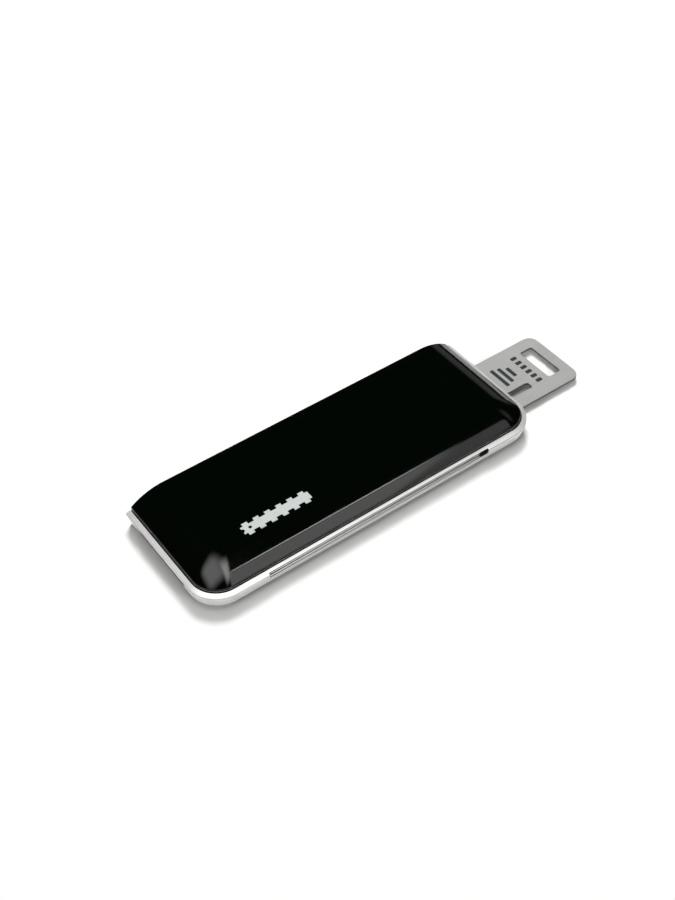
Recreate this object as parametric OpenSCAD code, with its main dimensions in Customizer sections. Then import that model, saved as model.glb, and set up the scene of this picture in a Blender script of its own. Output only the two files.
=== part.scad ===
// Pocket USB microcontroller programmer with a push-through plug.
// A gloss cover, a satin metal frame and a bottom plate close round a fixed circuit board.
// A steel slide runs through the case: its tail is the pull tab, its head carries the USB plug.
// X runs along the case from the plug mouth to the tab, Y from the ribbed side bar to the
// flat side, Z up. The origin is the middle of the underside. Millimetres.

/* [Case] */
// Length of the case, without the tab
body_l = 69.5; // [68:0.5:74]
// Width of the case
body_w = 25; // [24.5:0.25:27]
// Thickness of the case
body_h = 5.9; // [5.8:0.1:6.6]
// Plan radius of the two rounded corners
corner_r = 5.85; // [5.6:0.05:6.2]

/* [Cover] */
// Height of the cover's upright edge, below its shoulder
cover_lip = 0.5; // [0.5:0.02:0.54]
// Length of the long curve by which the cover drops at each end
end_crown = 6.4; // [6:0.1:7]
// Wall thickness of the cover
cover_wall = 1.0; // [0.9:0.05:1.1]

/* [Frame] */
// Width of the sloping ledge round the cover
ledge_w = 1.16; // [1.0:0.02:1.3]
// Drop of the sloping ledge
ledge_drop = 0.47; // [0.35:0.01:0.6]
// How far the frame's lower band tucks in
undercut = 0.51; // [0.3:0.01:0.6]
// Thickness of the bottom plate at its edge
base_h = 0.68; // [0.64:0.02:0.72]

/* [Side bar] */
// Length of the channel for the side bar
channel_l = 45.6; // [44:0.2:47]
// Travel of the side bar
bar_travel = 1.6; // [1.2:0.1:1.6]

/* [Slide] */
// Travel of the slide, which is how far the plug comes out
slide_travel = 12.5; // [11.5:0.5:12.5]
// Width of the steel slide and its tab
slide_w = 13.65; // [13.2:0.05:13.7]
// Sheet thickness of the steel slide
slide_t = 0.5; // [0.4:0.05:0.5]
// How far the tab stands out of the case
tab_out = 15.35; // [15:0.05:15.5]

/* [Plug] */
// Width of the flat USB plug tongue
plug_w = 12; // [11.9:0.05:12.1]
// Thickness of the plug tongue
plug_t = 2.1; // [2.0:0.05:2.15]
// Sideways offset of the plug from the middle of the case
plug_y = 1.7; // [1.4:0.1:1.8]

/* [Circuit] */
// Thickness of the main circuit board
pcb_t = 0.8; // [0.6:0.1:0.8]
// Number of ways in the target socket
socket_ways = 6; // [4:1:6]

/* [Hidden] */
// Height of the gloss cover above the frame, fixed because its shoulder is drawn for it
cover_h = 2.5;
$fn = 64;
eps = 0.01;

// Levels
rim_z = body_h - cover_h - ledge_drop;      // widest line of the frame
edge_z = body_h - cover_h;                  // where cover meets frame
inner_top = body_h - cover_wall;            // ceiling inside the cover
slide_floor = base_h - 0.1;                 // floor of the slide's groove
slide_z = slide_floor + 0.12;               // underside of the steel slide
slide_top = slide_z + slide_t;
plug_z = 0.55;                              // underside of the plug tongue
pcb_z = 2.0;                                // underside of the circuit board
pcb_top = pcb_z + pcb_t;

// Plan of the case
end_x = body_l / 2;
front_y = -body_w / 2;
far_y = body_w / 2;
axis_x = end_x - corner_r;                  // centres of the rounded corners
axis_y = front_y + corner_r;
frame_wall = 2.2;                           // frame, outer edge to cavity
far_wall = 1.2;                             // wall on the flat side
hollow_y = far_y - far_wall;
shoulder_w = corner_r - ledge_w;
shoulder_rise = cover_h - cover_lip;
crown_w = shoulder_w - 0.3;                 // curved part of the shoulder
shoulder_r = (pow(crown_w, 2) + pow(shoulder_rise, 2)) / (2 * shoulder_rise);
end_drop = shoulder_rise + 0.1;
end_crown_r = (pow(end_crown, 2) + pow(end_drop, 2)) / (2 * end_drop);
base_bevel = 0.55;

// Screws, and the cover bosses that they go into
screw_x = 28;
screw_front_y = -8.6;
screw_far_y = 9.85;
screw_r = 0.5;
screw_head_r = 1.0;
screw_head_h = 0.45;
screw_sink = 0.05;
screw_l = 3.2;
rail_x1 = 26.4;                             // end of the slide's rails, short of the bosses
boss_r = 1.25;

// Mouth for the plug
mouth_w = 14.3;
mouth_low = 0.45;
mouth_high = rim_z - 0.18;
plug_front = -end_x + 1.0;
plug_l = 16.3;

// Steel slide
slide_head = -17.3;                         // end of the slide inside the case
tab_end = end_x + tab_out;
tab_corner_r = 2.1;
slot_w = 1.5;
slot_y = -3.2;
slot_out = end_x + 6.15;                    // outer end of the stop slot
pin_r = 0.65;
pin_gap = 0.05;
pin_x = slot_out - slide_travel - pin_r - pin_gap;
slot_in = pin_x - pin_r - pin_gap;
finger_x = end_x + 11.75;                   // middle of the finger slot
finger_l = 8.0;
finger_w = 2.85;
finger_y = 0.3;
print_depth = 0.06;
print_y = 1.37;
bar_marks = [[2.8, 5.0], [4.2, 4.2], [5.6, 2.6]]; // distance from the case, length
bar_mark_w = 0.75;
pin_mark_x = end_x + 8.3;
pin_mark_pitch = 1.4;
pin_mark = [1.3, 0.8];

// Plug holder and wipers
holder_x0 = -19.8;
holder_x1 = -13.2;
holder_w = 13.2;
holder_top = 3.2;
arm_x1 = 2.0;
arm_w = 10.1;
arm_t = 0.3;
rivet_x = -15.2;
rivet_gap = 7;
rivet_r = 0.45;
rivet_head_r = 0.8;
wiper_pitch = 2.4;
wiper_w = 1.0;
contact_y = [-3.5, -1.0, 1.0, 3.5];
contact_w = 1.1;
contact_t = 0.12;

// Circuit board
pcb_x0 = -12.5;
pcb_x1 = 25;
pcb_y0 = -9.7;
pcb_y1 = 10.9;
post_r = 0.8;
peg_r = 0.4;
posts = [[-10.8, -8.4], [-10.8, 9.6], [23.4, -8.4], [23.4, 9.6]];
strip_t = 0.04;
strip_w = 1.2;
strip_l = slide_travel + 1.3;

// Target socket, 1.27 mm pitch
socket_x = 6;
socket_pitch = 1.27;
socket_l = socket_ways * socket_pitch + 0.2;
socket_d = 4.9;
socket_h = 2.0;
socket_y1 = far_y - 0.2;
socket_hole = 0.6;
window_gap = 0.1;

// Side bar and selector
channel_low = rim_z - 0.79;
channel_high = rim_z + 0.22;
channel_d = 1.5;
bar_gap = 0.08;
bar_x0 = -channel_l / 2 + 0.15;
bar_x1 = channel_l / 2 - bar_travel - 0.35;
bar_recess = 0.12;
bar_groove = 0.14;
tang_l = 4;
tang_z = [2.38, 2.92];
clip_y = -10.15;
clip_t = 0.2;
clip_l = 8;
knob_l = 1.3;
knob_z = [2.95, 3.45];
clip_z = [2.05, 3.55];
switch_x = bar_travel / 2;
switch_l = 6.7;
switch_y = [-9.3, -6.7];
switch_h = 1.4;

// Cover mark: a chip seen from above
mark_x = -15.95;
mark_y = -4.45;
mark_l = 13.2;
mark_w = 1.6;
mark_pins = 6;
mark_pin_w = 1.05;
mark_pin_l = 0.55;
mark_notch_r = 0.4;
mark_dot_r = 0.3;
mark_depth = 0.12;

// Plan outline of the case, set in by inset on its three shaped sides and ending at y1
module outline(inset, y1) {
    r = corner_r - inset;
    for (sx = [-1, 1]) translate([sx * axis_x, axis_y]) circle(r);
    translate([-axis_x, axis_y - r]) square([2 * axis_x, y1 - axis_y + r]);
    translate([-axis_x - r, axis_y]) square([2 * (axis_x + r), y1 - axis_y]);
}

// Carries a section round the three shaped sides of the case, up to y1 on the flat side.
// The section is drawn with x running inwards from the case's outer edge and y upwards.
// z0 and z1 are its levels at the corner axis, where the middle of the case is filled.
module round_case(y1, z0, z1) {
    for (sx = [-1, 1]) {
        translate([sx * axis_x, axis_y, 0]) rotate_extrude() intersection() {
            translate([corner_r, 0]) mirror([1, 0]) children();
            translate([0, -body_h]) square([corner_r, 3 * body_h]);
        }
        mirror([sx < 0 ? 0 : 1, 0, 0]) translate([-end_x, y1, 0]) rotate([90, 0, 0])
            linear_extrude(y1 - axis_y) children();
    }
    translate([-axis_x, front_y, 0]) rotate([90, 0, 90])
        linear_extrude(2 * axis_x) children();
    translate([-axis_x, axis_y, z0]) cube([2 * axis_x, y1 - axis_y, z1 - z0]);
}

// Section of the crowned cover, or of the space under it when wall is the cover's wall
module cover_section(wall, low) {
    translate([ledge_w + crown_w, edge_z - low])
        square([shoulder_w - crown_w, cover_h - wall + low]);
    intersection() {
        translate([ledge_w + wall, edge_z - low])
            square([crown_w - wall + eps, cover_h + low]);
        translate([ledge_w + crown_w, body_h - shoulder_r])
            circle(shoulder_r - wall, $fn = 128);
    }
}

// A block from its low corner to its high corner
module span(a, b) {
    translate(a) cube(b - a);
}

module at_screws() {
    for (x = [-screw_x, screw_x], y = [screw_front_y, screw_far_y])
        translate([x, y, 0]) children();
}

// Chip symbol: a body with pins on its long sides, an end notch and a pin-one dot
module chip_symbol() {
    difference() {
        square([mark_l, mark_w], center = true);
        translate([-mark_l / 2, 0]) circle(mark_notch_r, $fn = 32);
        translate([-mark_l / 2 + 1.5, 0]) circle(mark_dot_r, $fn = 32);
    }
    pitch = mark_l / mark_pins;
    for (i = [0 : mark_pins - 1], sy = [-1, 1])
        translate([(i + 0.5) * pitch - mark_l / 2, sy * (mark_w + mark_pin_l) / 2])
            square([mark_pin_w, mark_pin_l + 2 * eps], center = true);
}

module mark_body(depth) {
    translate([mark_x, mark_y, body_h - depth]) linear_extrude(depth) chip_symbol();
}

// Window for the target socket, through the flat side
module socket_window() {
    half = socket_l / 2 + window_gap;
    span([socket_x - half, hollow_y - eps, pcb_top - window_gap],
         [socket_x + half, far_y + 1, inner_top]);
}

// Takes the cover's top down in a long curve at each end
module end_curves() {
    x0 = end_x - ledge_w - end_crown;
    for (sx = [0, 1]) mirror([sx, 0, 0])
        translate([0, far_y + 1, 0]) rotate([90, 0, 0]) linear_extrude(body_w + 2) difference() {
            translate([x0, edge_z]) square([end_crown + 2, cover_h + 1]);
            translate([x0, body_h - end_crown_r + 0.01]) circle(end_crown_r, $fn = 256);
        }
}

module top_cover() color([0.02, 0.02, 0.02]) {
    difference() {
        union() {
            difference() {
                round_case(far_y, edge_z, body_h) cover_section(0, 0);
                end_curves();
                round_case(hollow_y, edge_z - 1, inner_top) cover_section(cover_wall, 1);
                socket_window();
            }
            at_screws() translate([0, 0, base_h])
                cylinder(r = boss_r, h = inner_top - base_h + 0.2);
        }
        at_screws() translate([0, 0, base_h - 1]) cylinder(r = screw_r, h = screw_l + 1);
        translate([0, 0, eps]) mark_body(mark_depth + eps);
    }
}

module cover_mark() color([0.75, 0.76, 0.76]) mark_body(mark_depth);

module frame_ring() color([0.78, 0.79, 0.8]) {
    difference() {
        round_case(far_y, base_h, edge_z) polygon([
            [0, rim_z], [ledge_w, edge_z], [corner_r, edge_z],
            [corner_r, base_h], [undercut, base_h]]);
        translate([0, 0, base_h - 1]) linear_extrude(body_h) outline(frame_wall, hollow_y);
        // mouth for the plug
        span([-end_x - 1, plug_y - mouth_w / 2, 0], [-axis_x, plug_y + mouth_w / 2, mouth_high]);
        // notch for the steel slide
        span([axis_x, -slide_w / 2 - 0.15, 0], [end_x + 1, slide_w / 2 + 0.15, slide_top + 0.12]);
        // channel for the side bar, and the slot for its tang
        span([-channel_l / 2, front_y - 1, channel_low],
             [channel_l / 2, front_y + channel_d, channel_high]);
        span([-tang_l / 2 - 0.2, front_y, tang_z[0] - 0.1],
             [tang_l / 2 + bar_travel + 0.2, front_y + frame_wall + 1, tang_z[1] + 0.1]);
        socket_window();
    }
}

module bottom_plate() color([0.06, 0.06, 0.065]) {
    groove_w = slide_w + 0.3;
    difference() {
        union() {
            round_case(far_y, 0, base_h) polygon([
                [undercut, base_h], [corner_r, base_h],
                [corner_r, 0], [undercut + base_bevel, 0]]);
            // rails beside the steel slide
            for (sy = [-1, 1]) translate([pcb_x0, sy * (groove_w / 2 + 0.25) - 0.25, base_h - 0.1])
                cube([rail_x1 - pcb_x0, 0.5, slide_top + 0.3 - base_h + 0.1]);
            // posts and pegs for the circuit board
            for (p = posts) translate([p[0], p[1], base_h - 0.1]) {
                cylinder(r = post_r, h = pcb_z - base_h + 0.1);
                cylinder(r = peg_r, h = pcb_top + 0.2 - base_h + 0.1);
            }
        }
        // groove for the slide, and the deeper bed for the plug
        span([pcb_x0 - eps, -groove_w / 2, slide_floor], [end_x + 1, groove_w / 2, base_h + 0.5]);
        span([-end_x - 1, plug_y - mouth_w / 2, mouth_low],
             [pcb_x0, plug_y + mouth_w / 2, base_h + 1]);
        span([slide_head - slide_travel - 0.4, -groove_w / 2, slide_floor], [pcb_x0, 0, base_h + 1]);
        // pocket for the drag spring
        span([7, -1.2, 0.25], [19, 1.2, base_h]);
        translate([pin_x, slot_y, 0.2]) cylinder(r = pin_r, h = 2);
        at_screws() {
            translate([0, 0, -1]) cylinder(r = screw_r, h = 3);
            translate([0, 0, screw_sink])
                cylinder(r1 = screw_head_r, r2 = screw_r, h = screw_head_h);
            translate([0, 0, -1]) cylinder(r = screw_head_r, h = 1 + screw_sink);
        }
    }
}

module case_screws() color([0.55, 0.56, 0.58]) {
    at_screws() translate([0, 0, screw_sink]) difference() {
        union() {
            cylinder(r1 = screw_head_r, r2 = screw_r, h = screw_head_h);
            cylinder(r = screw_r, h = screw_l);
        }
        for (a = [0, 90]) rotate(a) translate([-0.6, -0.12, -1]) cube([1.2, 0.24, 1.25]);
    }
}

module stop_pin() color([0.6, 0.6, 0.62]) {
    translate([pin_x, slot_y, 0.2]) cylinder(r = pin_r, h = slide_top + 0.5 - 0.2);
}

module main_pcb() color([0.05, 0.3, 0.16]) {
    difference() {
        span([pcb_x0, pcb_y0, pcb_z], [pcb_x1, pcb_y1, pcb_top]);
        for (p = posts) translate([p[0], p[1], 0]) cylinder(r = peg_r + 0.03, h = body_h);
    }
}

// Moulded chip body with a pin-one dimple
module chip(size, at) {
    translate([at[0], at[1], pcb_top + 0.08]) difference() {
        translate([-size[0] / 2, -size[1] / 2, 0]) cube([size[0], size[1], size[2] - 0.08]);
        translate([-size[0] / 2 + 0.7, -size[1] / 2 + 0.7, size[2] - 0.16])
            cylinder(r = 0.3, h = 1, $fn = 24);
    }
}

// Gull-wing lead: a Z of sheet that leaves the chip body's side at mid height
module lead(w) {
    t = 0.12;
    rotate([90, 0, 90]) translate([0, 0, -w / 2]) linear_extrude(w)
        polygon([[0, 0.5], [0.3, 0.5], [0.3, t], [0.65, t], [0.65, 0],
                 [0.18, 0], [0.18, 0.5 - t], [0, 0.5 - t]]);
}

// A row of leads along the side of a chip; side is the distance from the chip's middle
module lead_row(at, turn, side, count, pitch, w) {
    for (i = [0 : count - 1]) translate([at[0], at[1], pcb_top]) rotate(turn)
        translate([(i - (count - 1) / 2) * pitch, side, 0]) lead(w);
}

mcu_at = [-5, 0.6];
mcu_size = [7, 7, 1.1];
shifter_at = [7.4, -0.4];
shifter_size = [5, 4.4, 1.0];
memory_at = [16.6, 1.2];
memory_size = [4.9, 3.9, 1.5];
regulator_at = [18.5, -6.4];
regulator_size = [2.9, 1.6, 1.1];
surge_at = [-10.6, -4.2];
surge_size = [2.9, 1.6, 1.0];

module microcontroller() color([0.08, 0.08, 0.09]) chip(mcu_size, mcu_at);
module level_shifter() color([0.08, 0.08, 0.09]) chip(shifter_size, shifter_at);
module program_memory() color([0.08, 0.08, 0.09]) chip(memory_size, memory_at);
module voltage_regulator() color([0.08, 0.08, 0.09]) chip(regulator_size, regulator_at);
module surge_protector() color([0.08, 0.08, 0.09]) chip(surge_size, surge_at);

module chip_leads() color([0.75, 0.75, 0.76]) {
    for (turn = [0, 90, 180, 270]) lead_row(mcu_at, turn, mcu_size[1] / 2, 8, 0.8, 0.36);
    for (turn = [0, 180]) {
        lead_row(shifter_at, turn, shifter_size[1] / 2, 7, 0.65, 0.26);
        lead_row(memory_at, turn, memory_size[1] / 2, 4, 1.27, 0.42);
    }
    for (at = [regulator_at, surge_at]) {
        lead_row(at, 0, regulator_size[1] / 2, 2, 1.9, 0.4);
        lead_row(at, 180, regulator_size[1] / 2, 3, 0.95, 0.4);
    }
}

module crystal() color([0.72, 0.72, 0.74]) {
    translate([-9.6, 6.2, pcb_top]) {
        span([-1.6, -1.25, 0], [1.6, 1.25, 0.35]);
        span([-1.45, -1.1, 0.35], [1.45, 1.1, 0.8]);
    }
}

// Two-ended chip part, as a body between raised end caps
module two_end(size, at, turn = 0) {
    cap = 0.22 * size[0];
    translate([at[0], at[1], pcb_top]) rotate(turn) {
        for (sx = [-1, 1]) translate([sx * (size[0] - cap) / 2, 0, size[2] / 2])
            cube([cap, size[1], size[2]], center = true);
        translate([0, 0, size[2] / 2])
            cube([size[0] - cap, size[1] - 0.06, size[2] - 0.06], center = true);
    }
}

module chip_capacitors() color([0.62, 0.5, 0.36]) {
    for (at = [[-10.2, 2.6], [-10.2, 0.4], [1.6, 4.2], [11.9, 2.2], [11.9, -2.4], [15.4, -6.4]])
        two_end([1.6, 0.8, 0.8], at, 90);
}

module chip_resistors() color([0.1, 0.1, 0.11]) {
    for (i = [0 : 4]) two_end([1.6, 0.8, 0.45], [7 + 1.5 * i, -7.4], 90);
    for (i = [0 : 2]) two_end([1.6, 0.8, 0.45], [-8 + 1.5 * i, -6.6], 90);
}

module reservoir_capacitor() color([0.75, 0.55, 0.2]) {
    two_end([3.5, 2.8, 1.7], [20.8, 5.6], 90);
}

module status_leds() color([0.85, 0.9, 0.8]) {
    for (i = [0 : 1]) two_end([1.6, 0.8, 0.6], [-4.5 + 2.4 * i, 9.2]);
}

module selector_switch() color([0.7, 0.7, 0.72]) {
    difference() {
        span([switch_x - switch_l / 2, switch_y[0], pcb_top],
             [switch_x + switch_l / 2, switch_y[1], pcb_top + switch_h]);
        span([-knob_l / 2 - 0.15, switch_y[0] - 1, knob_z[0] - 0.1],
             [knob_l / 2 + bar_travel + 0.15, switch_y[0] + 0.75, knob_z[1] + 0.1]);
    }
}

// Middles of the socket's ways along X
function way_x(i) = socket_x + (i - (socket_ways - 1) / 2) * socket_pitch;

module target_socket() color([0.07, 0.07, 0.075]) {
    difference() {
        span([socket_x - socket_l / 2, socket_y1 - socket_d, pcb_top],
             [socket_x + socket_l / 2, socket_y1, pcb_top + socket_h]);
        for (i = [0 : socket_ways - 1])
            translate([way_x(i), socket_y1 + 1, pcb_top + socket_h / 2]) rotate([90, 0, 0])
                translate([-socket_hole / 2, -socket_hole / 2, 0])
                    cube([socket_hole, socket_hole, socket_d + 2]);
    }
}

module target_contacts() color([0.85, 0.68, 0.3]) {
    t = 0.1;
    z = pcb_top + socket_h / 2;
    back = socket_y1 - socket_d;
    for (i = [0 : socket_ways - 1]) translate([way_x(i), 0, 0]) {
        span([-0.2, back - 0.1, z - socket_hole / 2], [0.2, socket_y1 - 0.6, z - socket_hole / 2 + t]);
        span([-0.2, back - 0.2, pcb_top], [0.2, back - 0.1, z - socket_hole / 2 + t]);
        span([-0.2, back - 0.9, pcb_top], [0.2, back - 0.2, pcb_top + t]);
    }
}

module at_ways() {
    for (i = [-1.5 : 1.5]) translate([0, plug_y + i * wiper_pitch, 0]) children();
}

module contact_strips() color([0.85, 0.68, 0.3]) {
    at_ways() span([pcb_x0 + 0.2, -strip_w / 2, pcb_z - strip_t],
                   [pcb_x0 + 0.2 + strip_l, strip_w / 2, pcb_z]);
}

module insulator_sheet() color([0.8, 0.5, 0.15]) {
    span([2.6, -6.4, pcb_z - 0.1], [24.5, 6.4, pcb_z]);
}

// Bowed leaf under the steel slide, which gives it its drag
module drag_spring() color([0.7, 0.7, 0.72]) {
    half = 5.6;
    rise = slide_z - 0.04 - 0.25;
    r = (pow(half, 2) + pow(rise, 2)) / (2 * rise);
    translate([13, 0.9, slide_z - 0.04 - r]) rotate([90, 0, 0]) linear_extrude(1.8)
        intersection() {
            difference() {
                circle(r, $fn = 720);
                circle(r - 0.1, $fn = 720);
            }
            translate([-half, r - rise]) square([2 * half, rise + 1]);
        }
}

module slide_outline() {
    half = slide_w / 2;
    difference() {
        union() {
            translate([slide_head, -half]) square([tab_end - tab_corner_r - slide_head, slide_w]);
            translate([0, -half + tab_corner_r]) square([tab_end, slide_w - 2 * tab_corner_r]);
            for (sy = [-1, 1]) translate([tab_end - tab_corner_r, sy * (half - tab_corner_r)])
                circle(tab_corner_r);
        }
        // stop slot
        translate([slot_in + slot_w / 2, slot_y]) {
            circle(slot_w / 2, $fn = 32);
            translate([0, -slot_w / 2]) square([slot_out - slot_in - slot_w, slot_w]);
        }
        translate([slot_out - slot_w / 2, slot_y]) circle(slot_w / 2, $fn = 32);
        // finger slot with eased corners
        finger_slot();
        for (sy = [-1, 1]) translate([rivet_x, plug_y + sy * rivet_gap / 2]) circle(rivet_r);
    }
}

module finger_slot() {
    r = 0.4;
    translate([finger_x, finger_y]) {
        square([finger_w, finger_l - 2 * r], center = true);
        square([finger_w - 2 * r, finger_l], center = true);
        for (sx = [-1, 1], sy = [-1, 1])
            translate([sx * (finger_w / 2 - r), sy * (finger_l / 2 - r)]) circle(r, $fn = 32);
    }
}

// Marks on the tab: three shortening bars and a row of pins
module tab_marks() {
    for (b = bar_marks) translate([end_x + b[0], print_y])
        square([bar_mark_w, b[1]], center = true);
    for (i = [0 : socket_ways - 1])
        translate([pin_mark_x, (i - (socket_ways - 1) / 2) * pin_mark_pitch + 0.3])
            square(pin_mark, center = true);
}

module slide_plate() color([0.62, 0.62, 0.61]) {
    difference() {
        translate([0, 0, slide_z]) linear_extrude(slide_t) slide_outline();
        translate([0, 0, slide_top - print_depth]) linear_extrude(1) tab_marks();
    }
}

module tab_print() color([0.12, 0.13, 0.14]) {
    translate([0, 0, slide_top - print_depth]) linear_extrude(print_depth) tab_marks();
}

module plug_holder() color([0.12, 0.12, 0.13]) {
    y0 = plug_y - holder_w / 2;
    y1 = plug_y + holder_w / 2;
    difference() {
        union() {
            span([holder_x0, y0, plug_z], [slide_head - 0.1, y1, holder_top]);
            span([slide_head - 0.2, y0, slide_top], [holder_x1, y1, holder_top]);
            span([holder_x1 - 0.1, plug_y - arm_w / 2, slide_top],
                 [arm_x1, plug_y + arm_w / 2, slide_top + arm_t]);
        }
        // socket for the tongue
        span([holder_x0 - 1, plug_y - plug_w / 2, plug_z - 1],
             [plug_front + plug_l, plug_y + plug_w / 2, plug_z + plug_t]);
        for (sy = [-1, 1]) translate([rivet_x, plug_y + sy * rivet_gap / 2, 0])
            cylinder(r = rivet_r, h = body_h);
    }
}

// Flat tongue with a bevelled nose, and beds for its four contacts
module plug_tongue() color([0.1, 0.1, 0.11]) {
    bevel = 0.3;
    x1 = plug_front + plug_l;
    difference() {
        translate([0, plug_y + plug_w / 2, 0]) rotate([90, 0, 0]) linear_extrude(plug_w)
            polygon([[plug_front, plug_z + bevel], [plug_front + bevel, plug_z],
                     [x1, plug_z], [x1, plug_z + plug_t],
                     [plug_front + bevel, plug_z + plug_t],
                     [plug_front, plug_z + plug_t - bevel]]);
        translate([0, 0, eps]) contact_bars(eps);
    }
}

module contact_bars(extra) {
    z1 = plug_z + plug_t;
    for (y = contact_y) {
        x0 = plug_front + (abs(y) > 2 ? 1.2 : 2.2);
        span([x0, plug_y + y - contact_w / 2, z1 - contact_t - extra],
             [plug_front + 9.8, plug_y + y + contact_w / 2, z1]);
    }
}

module plug_contacts() color([0.85, 0.68, 0.3]) contact_bars(0);

// Spring leaf from the holder's arm up to a contact strip
module wiper_contacts() color([0.85, 0.68, 0.3]) {
    t = 0.1;
    z0 = slide_top + arm_t;
    z1 = pcb_z - strip_t - 0.06;
    x0 = arm_x1 - 4.4;
    tip = arm_x1 - 1.1;
    at_ways() rotate([90, 0, 0]) translate([0, 0, -wiper_w / 2]) linear_extrude(wiper_w)
        polygon([[x0, z0], [x0 + 1.4, z0], [tip, z1 - t], [tip + 0.5, z1 - 2.2 * t],
                 [tip + 0.5, z1 - 1.2 * t], [tip, z1], [x0 + 1.4 - t, z0 + t], [x0, z0 + t]]);
}

module slide_rivets() color([0.6, 0.6, 0.62]) {
    for (sy = [-1, 1]) translate([rivet_x, plug_y + sy * rivet_gap / 2, 0]) {
        translate([0, 0, slide_z]) cylinder(r = rivet_r, h = holder_top - slide_z);
        translate([0, 0, holder_top]) cylinder(r = rivet_head_r, h = 0.25);
    }
}

// Ribbed bar: its face keeps to the frame's outer shape, a little sunk, with one long groove
module side_bar() color([0.74, 0.75, 0.76]) {
    low = channel_low + bar_gap;
    high = channel_high - bar_gap;
    mid = (low + high) / 2;
    tuck = undercut / (rim_z - base_h);
    slope = ledge_w / ledge_drop;
    g = bar_groove / 2;
    y_low = front_y + tuck * (rim_z - low) + bar_recess;
    y_mid = front_y + tuck * (rim_z - mid) + bar_recess;
    y_rim = front_y + bar_recess;
    y_high = front_y + slope * (high - rim_z) + bar_recess;
    y_back = front_y + channel_d - 0.1;
    translate([bar_x0, 0, 0]) rotate([90, 0, 90]) linear_extrude(bar_x1 - bar_x0)
        polygon([[y_back, low], [y_low, low], [y_mid, mid - g], [y_mid + bar_groove, mid],
                 [y_mid, mid + g], [y_rim, rim_z], [y_high, high], [y_back, high]]);
    span([-tang_l / 2, y_back - 0.1, tang_z[0]], [tang_l / 2, clip_y, tang_z[1]]);
}

// Steel clip behind the frame wall, with a hole that takes the switch knob
module bar_clip() color([0.66, 0.66, 0.68]) {
    difference() {
        span([-clip_l / 2, clip_y, clip_z[0]], [clip_l / 2, clip_y + clip_t, clip_z[1]]);
        span([-knob_l / 2, clip_y - 1, knob_z[0]], [knob_l / 2, clip_y + 1, knob_z[1]]);
        for (sx = [-1, 1]) translate([sx * 1.4, clip_y - 1, 2.65]) rotate([-90, 0, 0])
            cylinder(r = 0.2, h = 3, $fn = 24);
    }
}

module clip_rivets() color([0.6, 0.6, 0.62]) {
    for (sx = [-1, 1]) translate([sx * 1.4, clip_y, 2.65]) rotate([-90, 0, 0]) {
        cylinder(r = 0.2, h = clip_t, $fn = 24);
        translate([0, 0, clip_t]) cylinder(r = 0.28, h = 0.08, $fn = 24);
    }
}

module switch_knob() color([0.1, 0.1, 0.11]) {
    span([-knob_l / 2, clip_y, knob_z[0]], [knob_l / 2, switch_y[0] + 0.6, knob_z[1]]);
}

top_cover();
cover_mark();
frame_ring();
bottom_plate();
case_screws();
stop_pin();
main_pcb();
microcontroller();
level_shifter();
program_memory();
voltage_regulator();
surge_protector();
crystal();
chip_leads();
chip_capacitors();
chip_resistors();
reservoir_capacitor();
status_leds();
selector_switch();
target_socket();
target_contacts();
contact_strips();
insulator_sheet();
drag_spring();
slide_plate();
tab_print();
plug_holder();
plug_tongue();
plug_contacts();
wiper_contacts();
slide_rivets();
side_bar();
bar_clip();
clip_rivets();
switch_knob();
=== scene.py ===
from math import cos, pi, radians, sin

import bmesh
import bpy
import numpy as np
from mathutils import Matrix, Vector
from mathutils.geometry import tessellate_polygon


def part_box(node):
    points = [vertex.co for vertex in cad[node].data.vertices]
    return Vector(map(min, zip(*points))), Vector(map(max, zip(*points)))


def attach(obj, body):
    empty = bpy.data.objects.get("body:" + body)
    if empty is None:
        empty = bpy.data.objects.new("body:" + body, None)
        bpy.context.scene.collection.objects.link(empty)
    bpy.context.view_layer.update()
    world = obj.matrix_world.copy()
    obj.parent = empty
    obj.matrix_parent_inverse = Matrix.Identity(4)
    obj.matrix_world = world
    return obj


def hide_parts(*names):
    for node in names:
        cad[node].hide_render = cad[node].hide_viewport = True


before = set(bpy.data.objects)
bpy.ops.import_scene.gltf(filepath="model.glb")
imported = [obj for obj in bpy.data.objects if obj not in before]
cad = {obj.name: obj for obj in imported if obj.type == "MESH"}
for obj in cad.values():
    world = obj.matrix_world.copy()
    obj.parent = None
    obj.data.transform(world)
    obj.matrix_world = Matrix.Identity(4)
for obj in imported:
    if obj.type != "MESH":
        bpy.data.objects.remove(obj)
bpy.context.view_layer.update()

mm = 0.001


# Camera: it stands in front of the near short end, to the left, and looks down on the
# gloss cover. Its lens and turn come from the straight edges of the case.
def camera_turn(yaw, pitch, roll):
    """Sight line from the yaw (clockwise from +Y) and the pitch (down). Right is the sight
    line cross Z, down is the sight line cross right, and roll turns right towards down."""
    sight = np.array([sin(yaw) * cos(pitch), cos(yaw) * cos(pitch), -sin(pitch)])
    right = np.cross(sight, [0, 0, 1])
    right /= np.linalg.norm(right)
    down = np.cross(sight, right)
    right, down = cos(roll) * right + sin(roll) * down, cos(roll) * down - sin(roll) * right
    return Matrix(np.column_stack([right, -down, -sight]).tolist())


lens = bpy.data.cameras.new("camera")
lens.sensor_fit = "VERTICAL"
lens.sensor_height = 24
focal_in_heights = 1302.1 / 900
lens.lens = lens.sensor_height * focal_in_heights
lens.clip_start = 0.005
camera = bpy.data.objects.new("camera", lens)
turn = camera_turn(yaw=radians(35.687), pitch=radians(46.416), roll=radians(0.8))
stands_at = Vector((-88.49, -122.67, 165.77)) * mm
camera.matrix_world = Matrix.Translation(stands_at) @ turn.to_4x4()
bpy.context.scene.collection.objects.link(camera)
bpy.context.scene.camera = camera


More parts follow.
